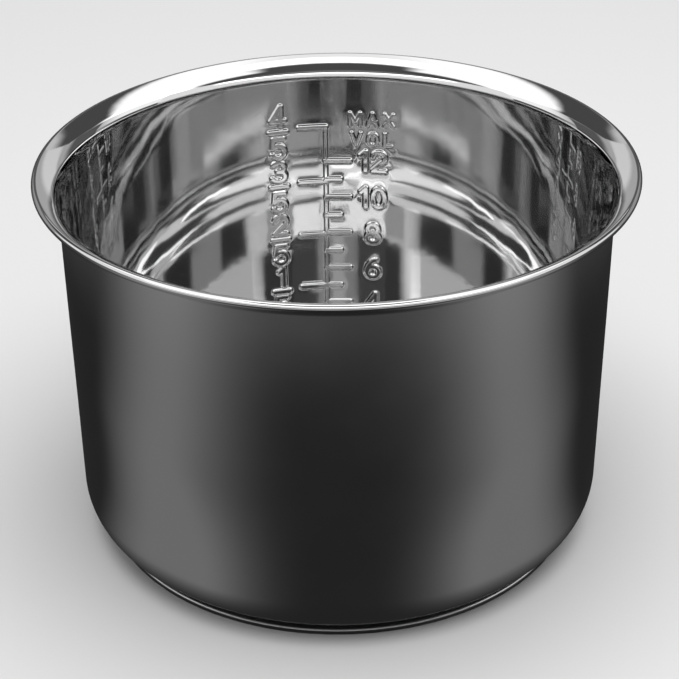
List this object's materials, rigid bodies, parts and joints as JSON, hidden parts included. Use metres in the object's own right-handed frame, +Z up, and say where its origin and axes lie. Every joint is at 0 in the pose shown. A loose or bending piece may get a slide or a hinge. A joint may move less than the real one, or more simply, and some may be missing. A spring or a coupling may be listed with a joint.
{
  "type": "pressure cooker inner pot",
  "caption": "Removable stainless steel inner pot of an electric pressure cooker: deep cylindrical shell, rolled rim, pressed volume scale and a sandwich base that spreads heat.",
  "frame": {"origin": "centre of the circular face that the pot stands on", "axes": "+Z up along the pot's axis; the volume scale is on the inside of the wall at +Y, and -Y faces the viewer"},
  "size_m": [0.24, 0.24, 0.158],
  "materials": {
    "polished_steel": "austenitic stainless steel, mirror polished, fine circular polishing lines",
    "core_aluminium": "rolled aluminium, mill finish",
    "base_steel": "magnetic stainless steel, satin with concentric turning lines"
  },
  "bodies": {
    "root": {"pot_body": "polished_steel", "heat_spreader": "core_aluminium", "base_cap": "base_steel"}
  },
  "joints": []
}
